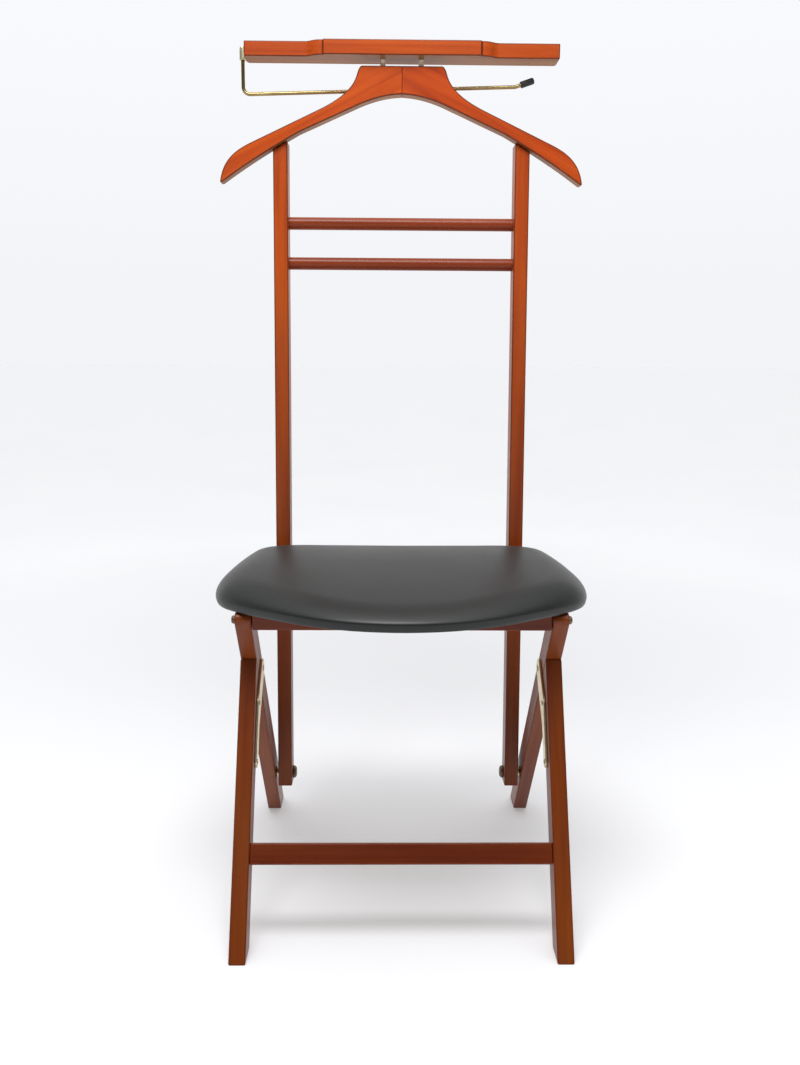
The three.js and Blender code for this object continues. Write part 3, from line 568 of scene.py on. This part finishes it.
def hanger_outline():
    """The half on +X as (x, z) in mm: out along the underside, and back along the upper side."""
    start, shoulder, tip = (0.0, 1040), (139, 990.5), (248.5, 924)
    arm, neck, top = (118, 1017.5), (60.5, 1067), 1076.5
    outline = [start]
    outline += quadratic(start, (30, 1039), (62, 1024.5), CURVE_STEPS)
    outline += [shoulder]
    outline += quadratic(shoulder, (200, 957), (tip[0] - 4, tip[1] + 1), CURVE_STEPS)
    outline += [tip]
    outline += bezier(tip, (tip[0] - 3, tip[1] + 22), (236, 962), (208, 975.5), CURVE_STEPS)
    outline += [arm]
    outline += bezier(arm, (86, 1032), (66, 1046), neck, CURVE_STEPS)
    outline += quadratic(neck, (58.5, 1074), (55, top), 5)
    outline += [(0.0, top)]
    return outline


def hanger_half(name, side, material):
    """Half of the coat hanger, from the neck's flat top out to the pointed tip."""
    node = f"hanger_{name}"
    low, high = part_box(node)
    shape = prism(
        hanger_outline(), low.y, high.y, lambda u, v, w: Vector((side * u * MM, w, v * MM)))
    paint_underside_shade(shape)

    def at_seam(edge):
        return all(abs(vertex.co.x) < SEAM_HALF for vertex in edge.verts)

    outer = [edge for edge in sharp_edges(shape, 30) if not at_seam(edge)]
    bevel(shape, outer, HANGER_ROUNDING)
    bevel(shape, [edge for edge in shape.edges if at_seam(edge)], SEAM_HALF, segments=1)
    wooden_piece(node, shape, material)


def tray_outline():
    """The board from above, as (x, y) in mm: its middle swells forward in two small ogees.

    An ogee starts with a short straight lip, and pull is the length of its curve's handles.
    """
    half, front, rear, corner = 212.5, 158, 195, 5
    swell, ogee_start, ogee_end = 12, 106, 131
    lip, pull = 3, 9
    right = [(ogee_start, front - swell), (ogee_start, front - swell + lip)]
    right += bezier(
        right[-1], (ogee_end - pull, front - swell + lip), (ogee_end - pull, front),
        (ogee_end, front), CURVE_STEPS)
    right += [(half, front), (half, rear - corner)]
    right += [
        (half - corner + corner * math.cos(math.radians(a)),
         rear - corner + corner * math.sin(math.radians(a)))
        for a in range(15, 91, 15)
    ]
    return right + [(-x, y) for x, y in reversed(right)]


def tray(material):
    low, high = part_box("tray")
    shape = prism(
        tray_outline(), low.z, high.z, lambda u, v, w: Vector((u * MM, v * MM, w)))
    paint_underside_shade(shape)
    bevel(shape, sharp_edges(shape), TRAY_ROUNDING)
    wooden_piece("tray", shape, material)


def rung(node, material):
    """A round rung, let a little way into the uprights."""
    low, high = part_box(node)
    middle = (low + high) / 2
    upright_low, upright_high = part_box("upright_right")
    half = ((upright_low + upright_high) / 2).x - UPRIGHT_HALF + RUNG_LET_IN
    radius = (high.z - low.z) / 2
    profile = [(0, -half), (radius, -half), (radius, half), (0, half)]
    turned(node + "_wood", profile, middle, (1, 0, 0), material, node, "stained_beech", sides=56)


def make_wood(woods):
    for name, side in SIDES:
        for kind in LEG_LEANS:
            node = f"{kind}_{name}"
            wooden_bar(node, woods[node])
        hanger_half(name, side, woods[f"hanger_{name}"])
        paint_node(f"hanger_dowel_{name}", woods[f"hanger_{name}"])
    wooden_bar("front_stretcher", woods["front_stretcher"], 2 * MM,
               lambda corner: abs(corner.x) < INNER_LEG)
    wooden_bar("back_rail", woods["back_rail"], 1.6 * MM,
               lambda corner: abs(corner.x) < INNER_UPRIGHT)
    wooden_bar("seat_front_rail", woods["seat_front_rail"], 1.2 * MM)
    for node in ("rung_upper", "rung_lower"):
        rung(node, woods[node])
    tray(woods["tray"])


# ------------------------------------------------------------------ seat cushion

# The seat's edge on +X, as (x, y) in mm, from the middle of the front to that of the rear.
SEAT_HALF = (
    (0, -212), (60, -204), (111, -183), (160, -151), (207, -113), (225, -87), (233, -46),
    (230, 0), (219, 58), (204, 93.5), (176, 113.2), (120, 118.2), (0, 118.2),
)
CUSHION_MIDDLE = Vector((0, -40 * MM))
CUSHION_BELLY = 10 * MM        # height of the widest ring above the seat's underside
REAR_ROLL, FRONT_ROLL = 0.7, 1.7    # how far in the top is rolled, in heights of the edge
REAR_ARCH, FRONT_ARCH = 2.2, 1.5    # the power of the roll's curve; 1 starts it at a crease
ROLL_POWER = 2.2               # its other power; 1 would crease it where it meets the top
FRONT_DROP = 22 * MM           # how much thinner the front edge is
DROP_POWER = 1.5               # above 1, the drop starts gently
DROP_FROM = 80 * MM            # the top starts to fall here, and ends at the front edge
FRONT_EDGE = -212 * MM
SWELL = 3 * MM                 # room over the mesh for the swell that the simulation gives it
UNDER_TUCK = 4 * MM            # how far the side turns in below the belly
HEM_RINGS = (7 * MM, 16 * MM, 30 * MM)     # how far in from the rim the hem's flat rings are
HEM_PROUD = 0.22 * MM          # how far the hem stands below the board
CAP_HEIGHT = 5 * MM            # the hem's closed top, hidden inside the board
CAP_SHARE = 0.8                # how wide the cap's inner points are, as a share of the top's
SIDE_STEPS = 7
SIDE_ROUND = 0.999             # the side's quarter round, all but its very end
CUSHION_CELLS = 64             # cells across the top's grid
RIM_CROWDING = 1.5             # above 1, the grid's lines crowd towards the rim
SMOOTHING_ROUNDS = 40          # the simulated bulge keeps its swell and loses its wrinkles


def catmull_rom(points, per_span):
    """A closed centripetal Catmull-Rom curve."""
    count = len(points)
    found = []
    for i in range(count):
        p = [points[(i + k - 1) % count] for k in range(4)]
        knots = [0.0]
        for a, b in zip(p, p[1:]):
            knots.append(knots[-1] + math.sqrt((b - a).length))
        for step in range(per_span):
            t = knots[1] + (knots[2] - knots[1]) * step / per_span
            level = p
            for depth in range(1, 4):
                level = [
                    level[k] * ((knots[k + depth] - t) / (knots[k + depth] - knots[k]))
                    + level[k + 1] * ((t - knots[k]) / (knots[k + depth] - knots[k]))
                    for k in range(len(level) - 1)
                ]
            found.append(level[0])
    return found


def seat_edge():
    """The seat's edge as a function of the angle round the cushion's middle."""
    half = [Vector((x * MM, y * MM)) for x, y in SEAT_HALF]
    mirrored = [Vector((-p.x, p.y)) for p in reversed(half[1:-1])]
    curve = catmull_rom(half + mirrored, 40)
    by_angle = sorted(
        (math.atan2(p.y - CUSHION_MIDDLE.y, p.x - CUSHION_MIDDLE.x), (p - CUSHION_MIDDLE).length)
        for p in curve)

    def radius(angle):
        angle = math.atan2(math.sin(angle), math.cos(angle))
        before = by_angle[-1][0] - 2 * math.pi, by_angle[-1][1]
        for a, r in by_angle:
            if a >= angle:
                share = (angle - before[0]) / max(a - before[0], 1e-9)
                return before[1] + (r - before[1]) * share
            before = a, r
        first = by_angle[0][0] + 2 * math.pi, by_angle[0][1]
        share = (angle - before[0]) / max(first[0] - before[0], 1e-9)
        return before[1] + (first[1] - before[1]) * share

    return radius


def rim_cells(cells):
    """The places round the rim of a grid, in order."""
    places = [(i, 0) for i in range(cells)] + [(cells, j) for j in range(cells)]
    return places + [(i, cells) for i in range(cells, 0, -1)] + [(0, j) for j in range(cells, 0, -1)]


def forwardness(y):
    """0 at the rear of the seat, rising to 1 at its front edge."""
    return max(0.0, DROP_FROM - y) / (DROP_FROM - FRONT_EDGE)


def front_drop(y):
    """How far the cushion's top has fallen at y, on its way down to the front edge."""
    return FRONT_DROP * forwardness(y) ** DROP_POWER


def top_place(u, v, radius, underside, top):
    """Where the grid's point (u, v), each from -1 to 1, lies on the top with its rolled rim."""
    x, y = u * math.sqrt(1 - v * v / 2), v * math.sqrt(1 - u * u / 2)
    angle, reach = math.atan2(y, x), min(1.0, math.hypot(x, y))
    edge = radius(angle)
    inset = edge * (1 - reach) ** RIM_CROWDING
    x = CUSHION_MIDDLE.x + (edge - inset) * math.cos(angle)
    y = CUSHION_MIDDLE.y + (edge - inset) * math.sin(angle)
    height = top - underside - front_drop(y)
    front = math.sqrt(forwardness(y))
    roll = height * (REAR_ROLL + (FRONT_ROLL - REAR_ROLL) * front)
    arch = REAR_ARCH + (FRONT_ARCH - REAR_ARCH) * front
    shortfall = max(0.0, 1 - inset / roll) ** ROLL_POWER
    rise = (1 - shortfall) ** (1 / arch)
    return x, y, underside + CUSHION_BELLY + (height - CUSHION_BELLY) * rise


def side_levels():
    """The rings below the rim: (how far in, share of the rim's height, height above that)."""
    levels = []
    for k in range(1, SIDE_STEPS + 1):
        fall = math.sin(math.pi / 2 * k / SIDE_STEPS)
        inset = UNDER_TUCK * (1 - math.sqrt(1 - fall * fall * SIDE_ROUND))
        levels.append((inset, 1 - fall, 0))
    levels += [(inset, 0, -HEM_PROUD) for inset in HEM_RINGS]
    return levels + [(HEM_RINGS[-1] + 0.5 * MM, 0, CAP_HEIGHT)]


def grid_faces(shape, corners, upward):
    """Square faces between the corners of a grid, which look up or down."""
    for i in range(CUSHION_CELLS):
        for j in range(CUSHION_CELLS):
            places = ((i, j), (i + 1, j), (i + 1, j + 1), (i, j + 1))
            if not upward:
                places = ((i, j), (i, j + 1), (i + 1, j + 1), (i + 1, j))
            shape.faces.new([corners[place] for place in places])


def cushion_mesh(underside, top):
    """A grid for the rolled top, rings down the side, and the hem turned under the board."""
    radius = seat_edge()
    cells = CUSHION_CELLS
    shape = bmesh.new()
    grid = {}
    for i in range(cells + 1):
        for j in range(cells + 1):
            u, v = 2 * i / cells - 1, 2 * j / cells - 1
            grid[i, j] = shape.verts.new(top_place(u, v, radius, underside, top))
    grid_faces(shape, grid, upward=True)
    rim = [grid[place] for place in rim_cells(cells)]
    inward = []
    for before, after in zip(rim[-1:] + rim[:-1], rim[1:] + rim[:1]):
        along = after.co - before.co
        inward.append(Vector((-along.y, along.x, 0)).normalized())
    ring = rim
    for inset, belly_share, height in side_levels():
        lower = [
            shape.verts.new((
                start.co.x + direction.x * inset,
                start.co.y + direction.y * inset,
                underside + height + (start.co.z - underside) * belly_share,
            )) for start, direction in zip(rim, inward)
        ]
        join_rings(shape, ring, lower)
        ring = lower
    cap = dict(zip(rim_cells(cells), ring))
    for place, vertex in grid.items():
        if place not in cap:
            across = vertex.co.xy - CUSHION_MIDDLE
            within = CUSHION_MIDDLE + across * CAP_SHARE
            cap[place] = shape.verts.new((within.x, within.y, underside + CAP_HEIGHT))
    grid_faces(shape, cap, upward=False)
    return to_mesh("seat_cushion_vinyl", shape)


def smoothed(data, steps, free):
    """The steps of a mesh's points, each free one evened out again and again with those around."""
    neighbours = [[] for _ in steps]
    for edge in data.edges:
        a, b = edge.vertices
        neighbours[a].append(b)
        neighbours[b].append(a)
    for _ in range(SMOOTHING_ROUNDS):
        previous = list(steps)
        for index in free:
            around = sum((previous[other] for other in neighbours[index]), Vector())
            steps[index] = around / len(neighbours[index])
    return steps


def puff(made, is_held, cap, frames=20, pressure=4.0):
    """Inflates a closed mesh by cloth simulation, with some points held and none past the cap."""
    scene = bpy.context.scene
    group = made.vertex_groups.new(name="held")
    rest = [vertex.co.copy() for vertex in made.data.vertices]
    held = [vertex.index for vertex in made.data.vertices if is_held(vertex.co)]
    group.add(held, 1.0, "REPLACE")
    modifier = made.modifiers.new("cloth", "CLOTH")
    settings = modifier.settings
    settings.vertex_group_mass = "held"
    settings.quality = 6
    settings.mass = 0.25
    settings.tension_stiffness = 12
    settings.compression_stiffness = 12
    settings.shear_stiffness = 6
    settings.bending_stiffness = 3
    settings.use_pressure = True
    settings.uniform_pressure_force = pressure
    settings.effector_weights.gravity = 0
    modifier.collision_settings.use_collision = False
    for number in range(1, frames + 1):
        scene.frame_set(number)
    evaluated = made.evaluated_get(bpy.context.evaluated_depsgraph_get())
    moved = [vertex.co.copy() for vertex in evaluated.data.vertices]
    made.modifiers.remove(modifier)
    scene.frame_set(1)
    free = sorted(set(range(len(rest))) - set(held))
    steps = smoothed(made.data, [end - start for start, end in zip(rest, moved)], free)
    longest = max(step.length for step in steps)
    for vertex, start, step in zip(made.data.vertices, rest, steps):
        vertex.co = start + step * min(1.0, cap / longest)
    made.vertex_groups.clear()


def make_cushion():
    low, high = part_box("seat_cushion")
    top = high.z - SWELL
    data = cushion_mesh(low.z, top)
    smooth(data, sharp_degrees=80)
    made = piece("seat_cushion_vinyl", data, black_vinyl(), "seat_cushion", "black_vinyl")

    def in_lower_half(point):
        return point.z - low.z < 0.5 * (top - low.z - front_drop(point.y))

    puff(made, in_lower_half, SWELL)
    rounding = made.modifiers.new("subdivision", "SUBSURF")
    rounding.levels = 1
    rounding.render_levels = 1


# ------------------------------------------------------------------ metal and rubber

ROD_PIVOT = Vector((-0.2173, 0.185))
ROD_CORNER_Z = 1.044           # where the upright end would meet the long run, without the bend
ROD_RISE = math.radians(2)
ROD_END_RISE = math.radians(19)
ROD_END_X = 0.156              # where the long run would meet the free end
ROD_END_LENGTH = 0.022
ROD_RADIUS = 2.5 * MM
ROD_BEND = 9 * MM
# The rubber tip as (radius, height) in mm, with height 0 at the wire's end.
TIP_PROFILE = (
    (0, -12), (2.75, -12), (2.75, -14), (3.9, -14.2), (4.35, -13.6), (4.4, -12.6),
    (4.4, 2.6), (4.2, 3.6), (3.7, 4.4), (2.9, 4.9), (1.6, 5.0), (0, 5.0),
)


def rod_corners():
    """The wire's corners: its upper end, two bends and its free end."""
    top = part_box("trouser_rod")[1].z
    run_end_z = ROD_CORNER_Z + (ROD_END_X - ROD_PIVOT.x) * math.tan(ROD_RISE)
    return [
        Vector((*ROD_PIVOT, top)),
        Vector((*ROD_PIVOT, ROD_CORNER_Z)),
        Vector((ROD_END_X, ROD_PIVOT.y, run_end_z)),
        Vector((
            ROD_END_X + ROD_END_LENGTH * math.cos(ROD_END_RISE), ROD_PIVOT.y,
            run_end_z + ROD_END_LENGTH * math.sin(ROD_END_RISE))),
    ]


def bent_path(corners, bend_radius, bend_steps):
    """Straight runs joined by round bends, as points with their directions."""
    stations = [(corners[0], (corners[1] - corners[0]).normalized())]
    for before, corner, after in zip(corners, corners[1:], corners[2:]):
        into = (corner - before).normalized()
        out = (after - corner).normalized()
        angle = into.angle(out)
        centre = corner + (out - into).normalized() * (bend_radius / math.cos(angle / 2))
        start = corner - into * bend_radius * math.tan(angle / 2) - centre
        axis = into.cross(out).normalized()
        for k in range(bend_steps + 1):
            turn = Matrix.Rotation(angle * k / bend_steps, 3, axis)
            stations.append((centre + turn @ start, turn @ into))
    stations.append((corners[-1], (corners[-1] - corners[-2]).normalized()))
    return stations


def wire(name, stations, radius, material, node, slot, sides=28):
    """A round wire through places with their directions, which all lie across the Y axis."""
    shape = bmesh.new()
    across = Vector((0, 1, 0))
    rings = []
    for place, direction in stations:
        other = direction.cross(across)
        rings.append([
            shape.verts.new(
                place + radius * (across * math.cos(a) + other * math.sin(a)))
            for a in (2 * math.pi * i / sides for i in range(sides))
        ])
    for lower, upper in zip(rings, rings[1:]):
        join_rings(shape, lower, upper)
    shape.faces.new(rings[0])
    shape.faces.new(rings[-1])
    data = to_mesh(name, shape)
    smooth(data, sharp_degrees=50)
    piece(name, data, material, node, slot)


def make_rod(metal, rubber):
    corners = rod_corners()
    wire("trouser_rod_wire", bent_path(corners, ROD_BEND, 16), ROD_RADIUS, metal,
         "trouser_rod", "brass")
    direction = (corners[-1] - corners[-2]).normalized()
    profile = [(radius * MM, height * MM) for radius, height in TIP_PROFILE]
    turned("rod_tip_rubber", profile, corners[-1], direction, rubber, "rod_tip", "black_rubber")


def soften_node(node, width):
    """Welds and bevels a CAD node's edges, so that they catch light."""
    made = frame["nodes"][node]
    if "custom_normal" in made.data.attributes:
        made.data.attributes.remove(made.data.attributes["custom_normal"])
    weld = made.modifiers.new("weld", "WELD")
    weld.merge_threshold = WELD_DISTANCE
    edges = made.modifiers.new("edges", "BEVEL")
    edges.width = width
    edges.segments = 2
    edges.limit_method = "ANGLE"
    edges.angle_limit = math.radians(40)
    made.data.shade_smooth()
    made.data.set_sharp_from_angle(angle=math.radians(50))
    weight_normals(made)


def make_metal():
    """The trouser rod, and the CAD nodes that are kept, each with a material and softer edges."""
    bright = brass("brass_bright", (0.38, 0.29, 0.13), (0.17, 0.12, 0.05), 0.2)
    pale = brass("brass_pale", (0.83, 0.74, 0.52), (0.52, 0.42, 0.25), 0.3)
    # painted reflection: the standoffs' brass is near-white and almost no metal, to look as bright
    # as polished brass mirroring the light
    dull = brass("brass_painted_reflection", (0.97, 0.84, 0.66), (0.80, 0.66, 0.46), 0.45, metallic=0.1)
    aged = brass("brass_aged", (0.42, 0.34, 0.20), (0.16, 0.12, 0.07), 0.34)
    # dark: aged brass for the tray's screws, and painted shade for the pivot pins and bolts
    dark = brass("brass_dark", (0.20, 0.15, 0.10), (0.07, 0.05, 0.04), 0.4)
    make_rod(bright, black_rubber())
    kept_nodes = (
        (("hinge_plate", "back_pivot_spacer", "rod_bracket", "rod_cap"), pale, 0.3 * MM),
        (("tray_standoff",), dull, 0.3 * MM),
        (("tray_screw",), dark, 0.2 * MM),
        (("leg_rivet", "leg_hinge_screw"), aged, 0.2 * MM),
        (("seat_hook", "rail_screw", "hook_screw"), zinc_steel(), 0.2 * MM),
        # painted shade: the pivot pins and bolts take the dark brass, as they sit in shade under the
        # seat and inside the uprights' lower ends
        (("seat_pivot_pin", "back_pivot_bolt"), dark, 0.5 * MM),
        (("seat_board",), plywood(), 0.6 * MM),
    )
    for starts, material, edge_width in kept_nodes:
        for node in frame["nodes"]:
            if node.startswith(starts):
                paint_node(node, material)
                soften_node(node, edge_width)


# ------------------------------------------------------------------ studio

FLOOR_RADIUS = 60
SHADE_MIDDLE = (0.0, 0.9, 0.0)     # painted shadow: the floor is greyer round this place behind the stand,
SHADE_FROM, SHADE_TO = 0.25, 1.7   # fading out between these distances from it
FLOOR_GLOW = 0.30


def floor_material():
    """A white studio floor with a painted shadow behind the stand, which glows a little so that its
    far edge melts into the backdrop.
    """
    m = Nodes("floor")
    place = m.place()
    cloud = m.noise(place, 1.6, detail=2)
    base = m.mix(m.range(cloud, 0, 1, 0.3, 0.7), (0.71, 0.72, 0.75), (0.74, 0.75, 0.775))
    away = m.new("ShaderNodeVectorMath", operation="DISTANCE")
    m.link(m.coordinates(), away.inputs[0])
    away.inputs[1].default_value = SHADE_MIDDLE
    # painted shadow: the floor greys round a place behind the stand
    painted_shadow_share = m.range(away.outputs["Value"], 1.0, 0.0, SHADE_FROM, SHADE_TO)
    m.colour(m.mix(painted_shadow_share, base, (0.55, 0.555, 0.58)))
    m.roughness(m.range(cloud, 0.55, 0.65))
    m.set(Emission_Color=(1.0, 1.0, 1.0, 1.0), Emission_Strength=FLOOR_GLOW)
    m.set(Specular_IOR_Level=0.0)
    return m.material


def make_floor():
    shape = bmesh.new()
    bmesh.ops.create_circle(shape, cap_ends=True, segments=96, radius=FLOOR_RADIUS)
    data = bpy.data.meshes.new("floor")
    shape.to_mesh(data)
    shape.free()
    floor = bpy.data.objects.new("floor", data)
    bpy.context.scene.collection.objects.link(floor)
    floor.data.materials.append(floor_material())


BACKDROP_LOW = (0.89, 0.90, 0.925)     # what the camera sees beyond the floor's far edge
BACKDROP_HIGH = (0.94, 0.95, 0.98)     # and above
FRONT_ROOM = 0.04                      # how bright the dark room on the seat's side is
REAR_WALL = 1.15                       # how bright the white wall behind the stand is
CEILING = 0.45                         # how bright it is overhead, as a share of the room
SUN_POWER = 1.85
SUN_SPREAD = math.radians(75)          # as wide as an overcast sky
SUN_TILT = math.radians(6)
KEY_PLACE = (-0.15, -0.65, 2.05)       # a softbox above the camera
KEY_TARGET = (0, 0.17, 1.0)            # the tray and the hanger
KEY_SIZE = (0.9, 0.6)
KEY_POWER = 22


def make_world():
    """A white backdrop for the camera; for the object, a bright wall behind and a dim front."""
    world = bpy.data.worlds.new("studio")
    bpy.context.scene.world = world
    world.use_nodes = True
    w = Tree(world.node_tree)
    direction = w.parts(w.coordinates("Generated"))
    backdrop = w.mix(
        w.range(direction["Z"], 0.0, 1.0, 0.0, 0.3, "SMOOTHSTEP"), BACKDROP_LOW, BACKDROP_HIGH)
    seen = w.tree.nodes["Background"]
    w.link(backdrop, seen.inputs["Color"])

    room = w.range(direction["Y"], FRONT_ROOM, REAR_WALL, -0.35, 0.55, "SMOOTHSTEP")
    overhead = w.range(direction["Z"], 1.0, CEILING, 0.15, 0.55, "SMOOTHSTEP")
    lit = w.new("ShaderNodeBackground")
    w.link(w.math("MULTIPLY", room, overhead), lit.inputs["Strength"])

    either = w.new("ShaderNodeMixShader")
    w.link(w.new("ShaderNodeLightPath").outputs["Is Camera Ray"], either.inputs[0])
    w.link(lit.outputs["Background"], either.inputs[1])
    w.link(seen.outputs["Background"], either.inputs[2])
    w.link(either.outputs["Shader"], w.tree.nodes["World Output"].inputs["Surface"])


def make_lamp(name, kind, power):
    data = bpy.data.lights.new(name, kind)
    data.energy = power
    lamp = bpy.data.objects.new(name, data)
    bpy.context.scene.collection.objects.link(lamp)
    return lamp


def make_light():
    bpy.context.scene.view_settings.view_transform = "Standard"
    make_world()
    sun = make_lamp("overhead", "SUN", SUN_POWER)
    sun.data.angle = SUN_SPREAD
    sun.rotation_euler = Euler((SUN_TILT, 0, 0))

    key = make_lamp("key", "AREA", KEY_POWER)
    key.data.shape = "RECTANGLE"
    key.data.size, key.data.size_y = KEY_SIZE
    key.location = KEY_PLACE
    aim = Vector(KEY_TARGET) - key.location
    key.rotation_euler = aim.to_track_quat("-Z", "Y").to_euler()


# ------------------------------------------------------------------ the scene

make_camera()
make_light()
make_floor()
make_wood(wood_materials())
make_metal()
make_cushion()
